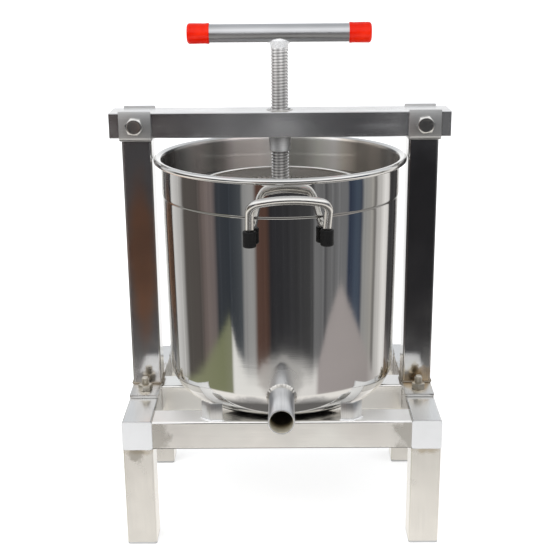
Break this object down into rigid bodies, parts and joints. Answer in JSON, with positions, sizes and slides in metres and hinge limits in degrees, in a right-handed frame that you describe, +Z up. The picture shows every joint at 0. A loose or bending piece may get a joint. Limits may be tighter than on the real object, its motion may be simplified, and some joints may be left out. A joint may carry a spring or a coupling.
{
  "type": "honey press",
  "caption": "Manual honey press: round steel barrel with spout and inner basket on a square-tube stand, pressed by a T-handle lead screw through a bolted cross beam.",
  "frame": {"origin": "middle of the whole machine's footprint, on the floor; the screw axis is 12.3 mm behind it (+Y)", "axes": "+Z up along the screw, +X to the right along the cross beam, the spout points to -Y"},
  "size_m": [0.34, 0.3254, 0.5156],
  "materials": {
    "tube_steel": "polished square tube with drawn lines",
    "mirror_steel": "mirror polished square tube",
    "strip_steel": "brushed sheet steel",
    "fastener_steel": "plain stainless fasteners",
    "turned_steel": "turned steel",
    "barrel_steel": "mirror polished sheet steel",
    "spout_steel": "drawn tube, satin",
    "rod_steel": "polished round bar",
    "basket_steel": "perforated sheet steel, satin",
    "plate_steel": "turned plate, satin",
    "screw_steel": "rolled thread, bright",
    "white_plastic": "moulded, matt",
    "grey_plastic": "moulded, matt",
    "black_rubber": "soft, matt",
    "red_plastic": "dipped, glossy"
  },
  "bodies": {
    "stand": {"side_rail_left": "tube_steel", "side_rail_right": "tube_steel", "cross_rail_front": "tube_steel", "cross_rail_middle": "tube_steel", "cross_rail_rear": "tube_steel", "leg_front_left": "tube_steel", "leg_front_right": "tube_steel", "leg_rear_left": "tube_steel", "leg_rear_right": "tube_steel", "rail_end_caps": "white_plastic", "foot_caps": "grey_plastic", "upright_foot_left": "strip_steel", "upright_foot_right": "strip_steel", "foot_bolts": "fastener_steel", "foot_nuts": "fastener_steel", "upright_left": "mirror_steel", "upright_right": "mirror_steel", "saddle_left": "strip_steel", "saddle_right": "strip_steel", "cross_beam": "mirror_steel", "beam_end_plates": "mirror_steel", "beam_bolts": "fastener_steel", "beam_washers": "fastener_steel", "beam_nuts": "fastener_steel", "lead_nut": "turned_steel", "locating_tabs": "strip_steel"},
    "barrel": {"barrel": "barrel_steel", "spout": "spout_steel", "front_handle": "rod_steel", "rear_handle": "rod_steel", "handle_sleeves": "black_rubber"},
    "basket": {"basket_wall": "basket_steel", "basket_floor": "basket_steel", "basket_rim_wire": "basket_steel", "basket_base_wire": "basket_steel"},
    "press_plate": {"press_plate": "plate_steel", "press_plate_hub": "plate_steel", "hub_set_screws": "fastener_steel"},
    "screw": {"lead_screw": "screw_steel", "handle_bar": "rod_steel", "handle_end_caps": "red_plastic"}
  },
  "joints": [
    {"name": "press_travel", "type": "slide", "parent": "stand", "child": "press_plate", "axis": [0, 0, 1], "range_m": [-0.0646, 0.1291]},
    {"name": "screw_turn", "type": "hinge", "parent": "press_plate", "child": "screw", "pos_m": [0, 0.01234, 0.3], "axis": [0, 0, 1], "range_deg": [-7740, 15480]},
    {"name": "barrel_lift", "type": "slide", "parent": "stand", "child": "barrel", "axis": [0, 0, 1], "range_m": [0, 0.01]},
    {"name": "basket_lift", "type": "slide", "parent": "barrel", "child": "basket", "axis": [0, 0, 1], "range_m": [0, 0.008]}
  ],
  "couplings": [
    {"joint": "press_travel", "follows": "screw_turn", "m_per_rad": 0.00047746}
  ]
}
